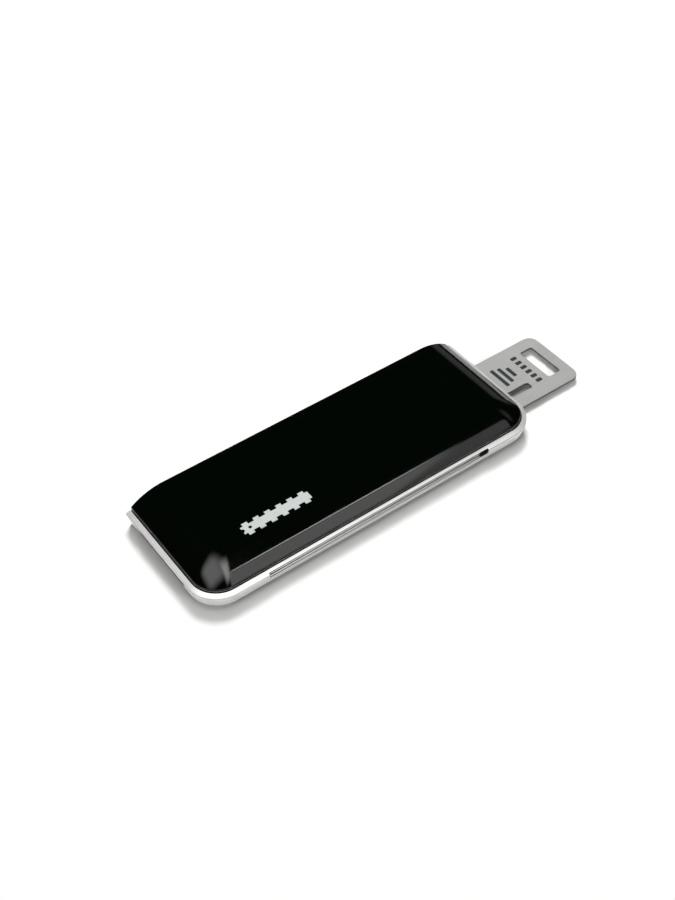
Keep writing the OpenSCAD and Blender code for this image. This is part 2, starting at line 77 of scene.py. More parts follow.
# Floor: a wide sheet of matt white card that the stick lies on. A soft box behind it to the
# right lights it, with fills in front, above and to the left. Dim panels, which light
# nothing matt, show in the gloss and in the metal only.
def node(tree, kind, values=None, links=None, **settings):
    """Adds a shader node, sets its plain values by socket name and links its sources."""
    made = tree.nodes.new(kind)
    for key, value in settings.items():
        setattr(made, key, value)
    for key, value in (values or {}).items():
        made.inputs[key].default_value = value
    for key, source in (links or {}).items():
        tree.links.new(source, made.inputs[key])
    return made


def finish(name, colour, metallic, roughness):
    """Starts a finish: a Principled shader whose plain values sit on its own sockets."""
    made = bpy.data.materials.new(name)
    made.use_nodes = True
    tree = made.node_tree
    shader = tree.nodes["Principled BSDF"]
    shader.inputs["Base Color"].default_value = (*colour, 1)
    shader.inputs["Metallic"].default_value = metallic
    shader.inputs["Roughness"].default_value = roughness
    return made, tree, shader


def put_on(thing, material):
    """The one finish of a piece or of a CAD node."""
    thing.data.materials.clear()
    thing.data.materials.append(material)


def soft_box(name, place, aim, width, height, glow, fade, mirrored):
    """A rectangular lamp at place whose face points at aim. Its power is pi times its glow
    times its area. Its cloth dims towards the edges: brightness is the product of two ramps
    of the distance from the nearest edges, as wide as fade. It either lights what is matt
    or is mirrored in gloss and metal."""
    lamp = bpy.data.lights.new(name, "AREA")
    lamp.shape = "RECTANGLE"
    lamp.size, lamp.size_y = width, height
    lamp.energy = glow * pi * width * height
    lamp.color = (1.0, 0.995, 0.985)
    lamp.use_nodes = True
    tree = lamp.node_tree
    across = node(tree, "ShaderNodeSeparateXYZ", {},
                  {"Vector": node(tree, "ShaderNodeNewGeometry").outputs["Parametric"]})
    ramps = []
    for axis in ("X", "Y"):
        off = node(tree, "ShaderNodeMath", {1: 0.5}, {0: across.outputs[axis]}, operation="SUBTRACT")
        off = node(tree, "ShaderNodeMath", {}, {0: off.outputs[0]}, operation="ABSOLUTE")
        ramps.append(node(tree, "ShaderNodeMapRange", {"From Min": 0.5, "From Max": 0.5 - fade},
                          {"Value": off.outputs[0]}, interpolation_type="SMOOTHSTEP").outputs[0])
    dim = node(tree, "ShaderNodeMath", {}, {0: ramps[0], 1: ramps[1]}, operation="MULTIPLY")
    tree.links.new(dim.outputs[0], tree.nodes["Emission"].inputs["Strength"])
    thing = bpy.data.objects.new(name, lamp)
    facing = (Vector(aim) - Vector(place)).to_track_quat("-Z", "Y").to_matrix().to_4x4()
    thing.matrix_world = Matrix.Translation(place) @ facing
    thing.visible_diffuse, thing.visible_glossy = not mirrored, mirrored
    bpy.context.scene.collection.objects.link(thing)


sheet = bpy.data.meshes.new("floor")
reach, under = 1.5, -0.00003
sheet.from_pydata([(-reach, -reach, under), (reach, -reach, under), (reach, reach, under),
                   (-reach, reach, under)], [], [(0, 1, 2, 3)])
floor = bpy.data.objects.new("floor", sheet)
bpy.context.scene.collection.objects.link(floor)
card, tree, shader = finish("white_card", (0.93, 0.93, 0.925), 0, 0.7)
coords = node(tree, "ShaderNodeTexCoord").outputs["Object"]
fibre = node(tree, "ShaderNodeTexNoise", {"Scale": 900.0, "Detail": 4.0}, {"Vector": coords})
bump = node(tree, "ShaderNodeBump", {"Strength": 0.05, "Distance": 0.0001},
            {"Height": fibre.outputs["Fac"]})
tree.links.new(bump.outputs["Normal"], shader.inputs["Normal"])
put_on(floor, card)

lamps = [  # name, place, aim, width, height, glow, fade
    ("key_box", (0.24, 0.34, 0.52), (0.0, 0.0, 0.0), 0.34, 0.34, 23.0, 0.25),
    ("overhead_box", (0.05, 0.05, 0.70), (0.0, 0.0, 0.0), 0.5, 0.5, 1.6, 0.25),
    ("front_fill", (0.0, -0.60, 0.28), (0.0, 0.0, 0.0), 0.7, 0.30, 4.0, 0.25),
    ("left_fill", (-0.60, -0.08, 0.30), (0.0, 0.0, 0.0), 0.5, 0.30, 6.0, 0.25),
]
panels = [
    ("front_panel", (0.35, -0.37, 0.70), (0.35, -0.37, 0.0), 0.44, 0.36, 0.9, 0.08),
    ("front_card", (0.28, -0.37, 0.71), (0.28, -0.37, 0.0), 0.30, 0.36, 1.0, 0.12),
    ("strip", (0.27, -0.185, 0.69), (0.27, -0.185, 0.0), 0.30, 0.016, 14.0, 0.3),
    ("left_panel", (-0.18, 0.10, 0.70), (-0.18, 0.10, 0.0), 0.62, 0.70, 2.5, 0.34),
    ("middle_panel", (0.08, -0.10, 0.72), (0.08, -0.10, 0.0), 0.22, 0.70, 4.6, 0.40),
    ("right_wall", (1.0, 0.65, 0.28), (0.0, 0.0, 0.0), 0.7, 0.40, 0.26, 0.3),
    ("right_card", (0.78, -0.05, 0.70), (0.78, -0.05, 0.0), 0.34, 0.60, 0.35, 0.45),
]
for lamp in lamps:
    soft_box(*lamp, mirrored=False)
for panel in panels:
    soft_box(*panel, mirrored=True)

sky = bpy.data.worlds.new("room")
sky.use_nodes = True
sky.node_tree.nodes["Background"].inputs["Color"].default_value = (0.9, 0.95, 1.0, 1)
sky.node_tree.nodes["Background"].inputs["Strength"].default_value = 0.01
bpy.context.scene.world = sky
bpy.context.scene.view_settings.view_transform = "Standard"


# Bottom plate: a moulded black lid with a fine spark-eroded face, with rails and pegs
# inside for the slide and the circuit board. The four screws hold it to the cover.
def shared_effect(name, inputs, outputs):
    """An empty node group with named number inputs and outputs, and its two end nodes."""
    group = bpy.data.node_groups.new(name, "ShaderNodeTree")
    for key, value in inputs.items():
        socket = group.interface.new_socket(key, in_out="INPUT", socket_type="NodeSocketFloat")
        socket.default_value = value
    for key in outputs:
        group.interface.new_socket(key, in_out="OUTPUT", socket_type="NodeSocketFloat")
    return group, node(group, "NodeGroupInput"), node(group, "NodeGroupOutput")


grain_group, given, result = shared_effect("fine_grain", {"Scale": 4000.0}, ("Grain", "Drift"))
coords = node(grain_group, "ShaderNodeTexCoord").outputs["Object"]
small = node(grain_group, "ShaderNodeTexNoise", {"Detail": 3.0, "Roughness": 0.6},
             {"Vector": coords, "Scale": given.outputs["Scale"]})
wide_scale = node(grain_group, "ShaderNodeMath", {1: 0.06}, {0: given.outputs["Scale"]},
                  operation="MULTIPLY")
wide = node(grain_group, "ShaderNodeTexNoise", {"Detail": 5.0, "Roughness": 0.55},
            {"Vector": coords, "Scale": wide_scale.outputs[0]})
grain_group.links.new(small.outputs["Fac"], result.inputs["Grain"])
grain_group.links.new(wide.outputs["Fac"], result.inputs["Drift"])


def blended(tree, colour, other, share):
    """The colour socket of a mix from one colour to the other by the share. Either colour
    may be a value or another socket."""
    mix = tree.nodes.new("ShaderNodeMix")
    mix.data_type = "RGBA"
    tree.links.new(share, mix.inputs[0])
    for at, source in ((6, colour), (7, other)):
        if isinstance(source, tuple):
            mix.inputs[at].default_value = (*source, 1)
        else:
            tree.links.new(source, mix.inputs[at])
    return mix.outputs[2]


def surfaced(tree, shader, height, relief, value, smooth, rough):
    """Bumps a finish by relief metres with one mask and takes its roughness from smooth to
    rough with another, over the middle of that mask's range."""
    dull = node(tree, "ShaderNodeMapRange",
                {"To Min": smooth, "To Max": rough, "From Min": 0.3, "From Max": 0.7}, {"Value": value})
    tree.links.new(dull.outputs[0], shader.inputs["Roughness"])
    bump = node(tree, "ShaderNodeBump", {"Strength": 1.0, "Distance": relief}, {"Height": height})
    tree.links.new(bump.outputs["Normal"], shader.inputs["Normal"])


def grained(name, colour, other, metallic, smooth, rough, scale, relief):
    """A finish with a fine grain: colour drifts from one tone to the other, roughness goes
    from smooth to rough with the wide drift, and the grain stands relief metres high."""
    made, tree, shader = finish(name, colour, metallic, smooth)
    grain = node(tree, "ShaderNodeGroup", {}, node_tree=grain_group)
    grain.inputs["Scale"].default_value = scale
    tree.links.new(blended(tree, colour, other, grain.outputs["Drift"]), shader.inputs["Base Color"])
    surfaced(tree, shader, grain.outputs["Grain"], relief, grain.outputs["Drift"], smooth, rough)
    return made


put_on(cad["bottom_plate"], grained("spark_eroded_plastic", (0.012, 0.012, 0.013), (0.02, 0.02, 0.021),
                                    0, 0.5, 0.66, 9000, 0.000012))

# Stop pin and drag spring: a ground steel pin pressed into the plate, which the slide's
# narrow slot runs along, and a bowed leaf of strip that gives the slide its drag.
put_on(cad["stop_pin"], grained("ground_pin", (0.6, 0.6, 0.61), (0.5, 0.5, 0.51), 1, 0.25, 0.4,
                                9000, 0.000003))
put_on(cad["drag_spring"], grained("spring_strip", (0.62, 0.61, 0.59), (0.5, 0.49, 0.47), 1, 0.22, 0.38,
                                   5000, 0.000003))


# Steel slide: one stamped sheet of stainless steel, brushed along its length. Its tail is
# the pull tab, with a finger slot, and the stop pin runs in its narrow slot.
def closed_mesh(name, verts, faces, material, body, stands_for, crisp=35, other=None):
    """Makes a piece from points in millimetres and faces. Doubles are merged, faces turned
    outwards, and edges folded by more than crisp degrees stay sharp. The other finish goes
    where its test of the faces' centres (mm) and normals holds."""
    mesh = bpy.data.meshes.new(name)
    mesh.from_pydata((np.asarray(verts) * mm).tolist(), [], [list(f) for f in faces])
    work = bmesh.new()
    work.from_mesh(mesh)
    bmesh.ops.remove_doubles(work, verts=work.verts, dist=1e-7)
    bmesh.ops.dissolve_degenerate(work, edges=work.edges, dist=1e-8)
    bmesh.ops.recalc_face_normals(work, faces=work.faces)
    work.to_mesh(mesh)
    work.free()
    mesh.polygons.foreach_set("use_smooth", np.ones(len(mesh.polygons), bool))
    mesh.set_sharp_from_angle(angle=radians(crisp))
    piece = bpy.data.objects.new(name, mesh)
    bpy.context.scene.collection.objects.link(piece)
    put_on(piece, material)
    if other:
        centres, normals = np.empty((2, 3 * len(mesh.polygons)))
        mesh.polygons.foreach_get("center", centres)
        mesh.polygons.foreach_get("normal", normals)
        chosen = other[1](centres.reshape(-1, 3) / mm, normals.reshape(-1, 3))
        mesh.materials.append(other[0])
        mesh.polygons.foreach_set("material_index", chosen.astype(np.int32))
    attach(piece, body)
    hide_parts(*stands_for)
    return piece


def rounded(corners, radii, steps=6):
    """Rounds the corners of a closed outline. Each corner becomes a curve from the point r
    before it to the point r after it, drawn as the quadratic curve that the corner pulls."""
    p = np.asarray(corners, float)
    before, after = np.roll(p, 1, 0) - p, np.roll(p, -1, 0) - p
    a = np.linalg.norm(before, axis=1, keepdims=True)
    b = np.linalg.norm(after, axis=1, keepdims=True)
    r = np.broadcast_to(np.asarray(radii, float).reshape(-1, 1), a.shape)
    r = np.minimum(r, 0.49 * np.minimum(a, b))
    start = p + before / np.maximum(a, 1e-9) * r
    stop = p + after / np.maximum(b, 1e-9) * r
    t = np.linspace(0, 1, steps + 1)[None, :, None]
    curve = (1 - t) ** 2 * start[:, None] + 2 * t * (1 - t) * p[:, None] + t ** 2 * stop[:, None]
    return curve.reshape(-1, 2)


def grown(outline, by):
    """Moves each point of a closed outline along its normal: the mean of the directions of
    its two edges, turned a quarter turn clockwise."""
    ahead = np.roll(outline, -1, 0) - outline
    ahead /= np.maximum(np.linalg.norm(ahead, axis=1, keepdims=True), 1e-9)
    mean = ahead + np.roll(ahead, 1, 0)
    mean /= np.maximum(np.linalg.norm(mean, axis=1, keepdims=True), 1e-9)
    return outline + by * np.column_stack([mean[:, 1], -mean[:, 0]])


def stamped_sheet(outlines, low, high, ease):
    """A flat sheet with holes. The first outline runs anticlockwise and the holes clockwise.
    Each wall is the outline at four heights, drawn in by ease at the two faces, and each
    face is the triangulated plan of the drawn-in outlines."""
    verts, faces, plans, count = [], [], [], 0
    for line in outlines:
        n = len(line)
        inner = grown(line, -ease)
        rings = [(inner, low), (line, low + ease), (line, high - ease), (inner, high)]
        verts.append(np.vstack([np.column_stack([p, np.full(n, z)]) for p, z in rings]))
        i = np.arange(n)
        j = np.roll(i, -1)
        for k in range(3):
            faces.append(np.column_stack([i + k * n, j + k * n, j + (k + 1) * n, i + (k + 1) * n]) + count)
        plans.append((inner, count, n))
        count += 4 * n
    flat = tessellate_polygon([[Vector((x, y, 0)) for x, y in inner] for inner, _, _ in plans])
    flat = np.array(flat)
    under = np.concatenate([np.arange(n) + at for _, at, n in plans])
    over = np.concatenate([np.arange(n) + at + 3 * n for _, at, n in plans])
    quads = np.vstack(faces).tolist()
    return np.vstack(verts), quads + under[flat][:, ::-1].tolist() + over[flat].tolist()


def box_outline(x0, x1, y0, y1):
    """The four corners of a rectangle, anticlockwise."""
    return [(x0, y0), (x1, y0), (x1, y1), (x0, y1)]


near, far = (np.array(corner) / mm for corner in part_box("slide_plate"))
low, high = near[2], far[2]
case_end, slot_start, slot_end = 34.75, 26.85, 34.75 + 6.15
plan = rounded(box_outline(near[0], far[0], -far[1], far[1]), [0.3, 2.2, 2.2, 0.3], 10)
stop_slot = rounded(box_outline(slot_start, slot_end, -3.95, -2.45), 0.6, 8)[::-1]
finger_x, finger_half = case_end + 11.75, 1.425
finger_slot = rounded(box_outline(finger_x - finger_half, finger_x + finger_half, -3.7, 4.3), 0.5, 6)[::-1]

line_group, given, result = shared_effect("rolled_lines", {"Along": 120.0, "Across": 14000.0},
                                          ("Lines", "Streaks"))
coords = node(line_group, "ShaderNodeTexCoord").outputs["Object"]
stretch = node(line_group, "ShaderNodeCombineXYZ", {},
               {"X": given.outputs["Along"], "Y": given.outputs["Across"],
                "Z": given.outputs["Across"]})
pulled = node(line_group, "ShaderNodeVectorMath", {}, {0: coords, 1: stretch.outputs[0]},
              operation="MULTIPLY")
lines = node(line_group, "ShaderNodeTexNoise", {"Scale": 1.0, "Detail": 4.0, "Roughness": 0.65},
             {"Vector": pulled.outputs[0]})
coarse = node(line_group, "ShaderNodeVectorMath", {1: (0.35, 0.2, 0.2)}, {0: pulled.outputs[0]},
              operation="MULTIPLY")
streaks = node(line_group, "ShaderNodeTexNoise", {"Scale": 1.0, "Detail": 2.0},
               {"Vector": coarse.outputs[0]})
line_group.links.new(lines.outputs["Fac"], result.inputs["Lines"])
line_group.links.new(streaks.outputs["Fac"], result.inputs["Streaks"])


def brushed(name, colour, other, metallic, smooth, rough, along, across, relief):
    """Metal with fine lines along X: colour goes from one tone to the other with the
    streaks, roughness from smooth to rough with the lines, which stand relief metres high."""
    made, tree, shader = finish(name, colour, metallic, smooth)
    lines = node(tree, "ShaderNodeGroup", {}, node_tree=line_group)
    lines.inputs["Along"].default_value = along
    lines.inputs["Across"].default_value = across
    tree.links.new(blended(tree, colour, other, lines.outputs["Streaks"]), shader.inputs["Base Color"])
    surfaced(tree, shader, lines.outputs["Lines"], relief, lines.outputs["Lines"], smooth, rough)
    return made


slide_steel = brushed("brushed_stainless", (0.50, 0.51, 0.495), (0.60, 0.605, 0.59), 0.5, 0.34, 0.46,
                      150, 9000, 0.000004)
# The sheet's cut walls, the faces that stand nearly upright, get a dark grey finish. It is partly the
# rougher sheared steel and partly painted shade, standing in for the shaded floor beneath the tab that the
# walls mirror.
sheared_and_shaded_walls = grained("sheared_edge_and_painted_shade", (0.10, 0.10, 0.10), (0.18, 0.18, 0.175), 0.8, 0.5, 0.7,
                  6000, 0.00001)
verts, faces = stamped_sheet([plan, stop_slot, finger_slot], low, high, 0.05)
closed_mesh("slide_sheet", verts, faces, slide_steel, "slide", ["slide_plate"],
            other=(sheared_and_shaded_walls, lambda centres, normals: np.abs(normals[:, 2]) < 0.3))

# Tab marks: dark ink baked onto the steel, three bars that shorten towards the finger slot
# and a row of short pins. Each bar is a distance out from the case and a length.
bars, bar_half, bars_y = [(2.8, 5.0), (4.2, 4.2), (5.6, 2.6)], 0.375, 1.37
pin_near, pin_far, pin_w, pitch = 7.65, 8.95, 0.8, 1.4
marks = []
for out, length in bars:
    x = case_end + out
    marks.append(box_outline(x - bar_half, x + bar_half, bars_y - length / 2, bars_y + length / 2))
for k in range(6):
    y = pitch * (k - 2.5) - 0.1
    marks.append(box_outline(case_end + pin_near, case_end + pin_far, y, y + pin_w))
verts, faces = [], []
for mark in marks:
    v, f = stamped_sheet([rounded(mark, 0.2, 4)], high - 0.04, high + 0.008, 0.006)
    faces += [[i + sum(map(len, verts)) for i in face] for face in f]
    verts.append(v)
ink = grained("baked_ink", (0.02, 0.022, 0.026), (0.035, 0.036, 0.04), 0, 0.5, 0.7, 9000, 0.000004)
closed_mesh("tab_marks", np.vstack(verts), faces, ink, "slide", ["tab_print"])

# Plug holder and its two rivets: a moulded black block that carries the tongue, with a
# long arm for the wiper leaves, riveted to the head of the slide.
put_on(cad["plug_holder"], grained("moulded_black", (0.016, 0.016, 0.017), (0.026, 0.026, 0.027),
                                   0, 0.45, 0.6, 8000, 0.000006))
put_on(cad["slide_rivets"], grained("rivet_steel", (0.6, 0.6, 0.61), (0.48, 0.48, 0.49), 1, 0.3, 0.45,
                                    8000, 0.000003))

# Plug tongue: the flat moulded USB plug, with four gold-plated contact bars let into it
# flush. The two outer bars are longer, so power meets first.
put_on(cad["plug_tongue"], grained("tongue_black", (0.014, 0.014, 0.015), (0.022, 0.022, 0.023),
                                   0, 0.3, 0.42, 7000, 0.000004))
gold = grained("gold_plate", (0.86, 0.62, 0.26), (0.93, 0.70, 0.34), 0.75, 0.3, 0.42, 6000, 0.000002)
put_on(cad["plug_contacts"], gold)
put_on(cad["wiper_contacts"], gold)
put_on(cad["contact_strips"], gold)

# Main circuit board: glass-fibre board under green solder mask, with copper tracks that
# show through as paler lines and small plated vias. It sits on the plate's four posts.
board, tree, shader = finish("solder_mask", (0.006, 0.07, 0.03), 0, 0.28)
coords = node(tree, "ShaderNodeTexCoord").outputs["Object"]
warp = node(tree, "ShaderNodeTexNoise", {"Scale": 260.0, "Detail": 0.0}, {"Vector": coords})
step = node(tree, "ShaderNodeVectorMath", {1: (0.004, 0.004, 0.0)}, {0: warp.outputs["Color"]},
            operation="MULTIPLY")
moved = node(tree, "ShaderNodeVectorMath", {}, {0: coords, 1: step.outputs[0]}, operation="ADD")
tracks = node(tree, "ShaderNodeTexWave", {"Scale": 420.0, "Distortion": 0.0},
              {"Vector": moved.outputs[0]}, bands_direction="Y")
cut = node(tree, "ShaderNodeMapRange", {"From Min": 0.62, "From Max": 0.7},
           {"Value": tracks.outputs["Fac"]})
vias = node(tree, "ShaderNodeTexVoronoi", {"Scale": 420.0}, {"Vector": coords}, feature="F1")
ring = node(tree, "ShaderNodeMapRange", {"From Min": 0.14, "From Max": 0.11},
            {"Value": vias.outputs["Distance"]})
mask = blended(tree, (0.006, 0.07, 0.03), (0.02, 0.16, 0.06), cut.outputs[0])
tree.links.new(blended(tree, mask, (0.5, 0.42, 0.2), ring.outputs[0]), shader.inputs["Base Color"])
bump = node(tree, "ShaderNodeBump", {"Strength": 0.6, "Distance": 0.00002}, {"Height": cut.outputs[0]})
tree.links.new(bump.outputs["Normal"], shader.inputs["Normal"])
put_on(cad["main_pcb"], board)

# Insulator sheet: amber polyimide film, cut flat and stuck under the board. It keeps the
# solder joints off the steel slide that runs below them.
put_on(cad["insulator_sheet"], grained("amber_film", (0.55, 0.2, 0.02), (0.66, 0.28, 0.04), 0, 0.18, 0.3,
                                       3000, 0.000002))

# Chips: black epoxy moulded round their lead frames, with tin-plated leads soldered to the
# top of the board.
epoxy = grained("chip_epoxy", (0.014, 0.014, 0.015), (0.024, 0.024, 0.025), 0, 0.55, 0.7, 12000, 0.000005)
for chip in ("microcontroller", "level_shifter", "program_memory", "voltage_regulator", "surge_protector"):
    put_on(cad[chip], epoxy)
put_on(cad["chip_leads"], grained("tin_plate", (0.66, 0.66, 0.67), (0.5, 0.5, 0.52), 1, 0.3, 0.5,
                                  9000, 0.000003))

# Crystal, chip capacitors and resistors, reservoir capacitor and two lamps: surface-mount
# parts in a nickel can, fired ceramic, and clear or coloured resin.
put_on(cad["crystal"], grained("nickel_lid", (0.62, 0.61, 0.58), (0.5, 0.49, 0.47), 1, 0.24, 0.36,
                               7000, 0.000002))
put_on(cad["chip_capacitors"], grained("fired_ceramic", (0.3, 0.19, 0.1), (0.42, 0.3, 0.18), 0, 0.35, 0.5,
                                       9000, 0.000004))
put_on(cad["chip_resistors"], grained("glazed_resistor", (0.016, 0.016, 0.02), (0.05, 0.05, 0.055),
                                      0, 0.3, 0.45, 9000, 0.000004))
put_on(cad["reservoir_capacitor"], grained("tantalum_resin", (0.7, 0.36, 0.04), (0.78, 0.45, 0.08),
                                           0, 0.32, 0.47, 9000, 0.000004))
put_on(cad["status_leds"], grained("lamp_resin", (0.75, 0.8, 0.55), (0.85, 0.88, 0.7), 0, 0.15, 0.3,
                                   9000, 0.000004))

# Selector switch, with its knob, clip and rivets: a stamped metal shell on the board. A
# spring-steel clip behind the frame's wall ties the knob to the side bar.
shell_steel = brushed("stamped_shell", (0.6, 0.6, 0.6), (0.7, 0.7, 0.7), 1, 0.28, 0.4, 300, 8000, 0.000003)
put_on(cad["selector_switch"], shell_steel)
put_on(cad["bar_clip"], shell_steel)
put_on(cad["clip_rivets"], grained("clip_rivet_steel", (0.6, 0.6, 0.61), (0.5, 0.5, 0.51), 1, 0.3, 0.4,
                                   9000, 0.000002))
put_on(cad["switch_knob"], grained("knob_black", (0.016, 0.016, 0.017), (0.028, 0.028, 0.03), 0, 0.45, 0.6,
                                   9000, 0.000004))

# Target socket: a black glass-filled strip with six square ways and gold-plated contacts,
# which opens in the flat side of the case.
put_on(cad["target_socket"], grained("glass_filled_black", (0.016, 0.016, 0.017), (0.03, 0.03, 0.031), 0,
                                     0.5, 0.65, 9000, 0.000006))
put_on(cad["target_contacts"], gold)

# Frame: a band of bead-blasted and clear anodised aluminium round three sides of the case,
# with a sloping ledge above its rim and a lower band that tucks in. A straight wall closes
# its flat side. It is pinched between the cover and the bottom plate.
body_l, body_w, body_h = 69.5, 25.0, 5.9
corner_r = 5.85
axis_x, axis_y = body_l / 2 - corner_r, corner_r - body_w / 2
far_y = body_w / 2
rim_z, edge_z, base_h = 2.93, 3.4, 0.68
ledge_w, undercut, frame_wall = 1.16, 0.51, 2.2
channel_low, channel_high, channel_deep, channel_x = 2.05, 3.09, 1.5, 22.8
groove_deep, groove_up, groove_down = 0.11, 0.02, 0.11
gap_w, gap_deep = 0.24, 0.5
mouth_y, mouth_half, mouth_roof = 1.7, 7.15, 2.75
notch_y, notch_roof = 6.975, 1.32
window_x0, window_x1, window_sill, window_head = 1.99, 10.01, 2.7, 4.9


def band_at(z):
    """How far the lower band has tucked in at a height: in proportion below the rim."""
    return undercut * (rim_z - z) / (rim_z - base_h)


def ledge_at(z):
    """How far in the sloping ledge is at a height: in proportion above the rim."""
    return ledge_w * (z - rim_z) / (edge_z - rim_z)


def ledge_z(inward):
    """How high the ledge stands at a distance in from the outer edge."""
    return rim_z + (edge_z - rim_z) * inward / ledge_w


def frame_section(cut=None):
    """The frame's section as points (distance in from the outer edge, height), with a fine
    groove at its rim and a gap beside the cover, both painted near-black as shade. The cut is the channel,
    the plug's mouth or the slide's notch. It moves the same points, so sections match point for point."""
    groove_top, groove_low = rim_z + groove_up, rim_z - groove_down
    a, d = (ledge_at(groove_top), groove_top), (band_at(groove_low), groove_low)
    b, c = (groove_deep, groove_top - 0.01), (groove_deep, groove_low + 0.02)
    low = base_h
    if cut == "channel":
        a, d = (ledge_at(channel_high), channel_high), (band_at(channel_low), channel_low)
        b, c = (channel_deep, channel_high), (channel_deep, channel_low)
    elif cut == "mouth":
        low = mouth_roof
        d = (band_at(low), low)
    elif cut == "notch":
        low = notch_roof
    lip, gap_z = ledge_w - gap_w, edge_z - gap_deep
    points = [(ledge_w, gap_z), (lip, gap_z), (lip, ledge_z(lip)), a, b, c, d,
              (band_at(low), low), (frame_wall, low), (frame_wall, edge_z), (ledge_w, edge_z)]
    return rounded(points, [0.03, 0.03, 0.04, 0.03, 0.03, 0.03, 0.03, 0.06, 0.05, 0.05, 0.03], 3)


def round_stations(y_end, cuts):
    """Places along the case's three shaped sides: for each, the centre that the section
    swings about, the angle outwards, and the section's name. Each cut gives a side, where
    it starts and ends along it, and its name, and has two places at each end. The notch
    starts on the curve, just before the straight side."""
    notch_turn = 2 * pi - 0.0556
    rows = [(-axis_x, y_end, pi, None)]
    for lo, hi, name in (c[1:] for c in cuts if c[0] == "left"):
        rows += [(-axis_x, hi, pi, None), (-axis_x, hi, pi, name),
                 (-axis_x, lo, pi, name), (-axis_x, lo, pi, None)]
    rows += [(-axis_x, axis_y, a, None) for a in np.linspace(pi, 1.5 * pi, 33)]
    for lo, hi, name in (c[1:] for c in cuts if c[0] == "front"):
        rows += [(lo, axis_y, 1.5 * pi, None), (lo, axis_y, 1.5 * pi, name),
                 (hi, axis_y, 1.5 * pi, name), (hi, axis_y, 1.5 * pi, None)]
    rows += [(axis_x, axis_y, a, None) for a in np.linspace(1.5 * pi, notch_turn, 32)]
    for hi, name in (c[2:] for c in cuts if c[0] == "right"):
        rows += [(axis_x, axis_y, notch_turn, name), (axis_x, axis_y, 2 * pi, name),
                 (axis_x, hi, 2 * pi, name), (axis_x, hi, 2 * pi, None)]
    return rows + [(axis_x, y_end, 2 * pi, None)]


def carried(stations, section):
    """Carries a section round the case. A point that is d in from the outer edge lies at the
    station's centre plus (corner radius less d) along the angle outwards."""
    rings = []
    for cx, cy, angle, name in stations:
        d, z = section(name).T
        reach = corner_r - d
        rings.append(np.column_stack([cx + reach * cos(angle), cy + reach * sin(angle), z]))
    return np.array(rings)


def wrapped(rings):
    """Faces between neighbouring closed rings, and a flat face at each end."""
    n, m = rings.shape[:2]
    i, j = np.meshgrid(np.arange(n - 1), np.arange(m), indexing="ij")
    k = (j + 1) % m
    quads = np.stack([i * m + j, i * m + k, (i + 1) * m + k, (i + 1) * m + j], -1).reshape(-1, 4)
    caps = [list(range(m))[::-1], [(n - 1) * m + q for q in range(m)]]
    return rings.reshape(-1, 3), quads.tolist() + caps


def wall_section(window):
    """The flat wall's section as points (y, height), lower where the window opens it."""
    inside, top = far_y - 1.2, window_sill if window else edge_z
    return rounded([(inside, base_h), (far_y, base_h), (far_y, top), (inside, top)], 0.04, 3)


def painted_shade_faces(centres, normals):
    """Which faces get the painted shade: those inside the channel, the rim's groove or the gap
    beside the cover, between two distances in from the outer edge (the corner radius less the distance
    from the corner's axis) and between two heights, with a few hundredths to spare."""
    x = np.maximum(np.abs(centres[:, 0]) - axis_x, 0)
    y = np.maximum(axis_y - centres[:, 1], 0)
    inward = corner_r - np.hypot(x, y)
    z = centres[:, 2]
    channel = (np.abs(centres[:, 0]) < channel_x + 0.05) & (y > 0)
    channel &= (inward > 0.42) & (inward < channel_deep + 0.05)
    channel &= (z > channel_low - 0.02) & (z < channel_high + 0.02)
    groove = (inward > 0.045) & (inward < groove_deep + 0.02) & (np.abs(z - rim_z + 0.04) < 0.055)
    gap = (inward > ledge_w - gap_w - 0.02) & (inward < ledge_w + 0.03)
    gap &= (z > edge_z - gap_deep - 0.02) & (z < ledge_z(ledge_w - gap_w) - 0.02)
    return channel | groove | gap


cuts = [("left", mouth_y - mouth_half, mouth_y + mouth_half, "mouth"),
        ("front", -channel_x, channel_x, "channel"), ("right", 0, notch_y, "notch")]
verts, faces = wrapped(carried(round_stations(far_y, cuts), frame_section))
ends = [(-body_l / 2 + frame_wall, 0), (window_x0, 0), (window_x0, 1),
        (window_x1, 1), (window_x1, 0), (body_l / 2 - frame_wall, 0)]
rings = []
for x, window in ends:
    y, z = wall_section(window).T
    rings.append(np.column_stack([np.full(len(y), x), y, z]))
more, again = wrapped(np.array(rings))
faces = faces + [[i + len(verts) for i in face] for face in again]
blasted = grained("blasted_aluminium", (0.95, 0.95, 0.945), (0.89, 0.89, 0.885), 0.6, 0.36, 0.46,
                  14000, 0.000003)
# Painted shade: a near-black finish, not a real lining. It goes on the faces inside the channel, the rim's
# groove and the gap beside the cover, where shade falls, and in the side bar's hollows.
painted_shade = grained("painted_shade_in_hollows", (0.010, 0.010, 0.011), (0.018, 0.018, 0.019), 0, 0.55, 0.7,
                9000, 0.000005)
closed_mesh("frame_band", np.vstack([verts, more]), faces, blasted, "case", ["frame_ring"],
            30, (painted_shade, painted_shade_faces))

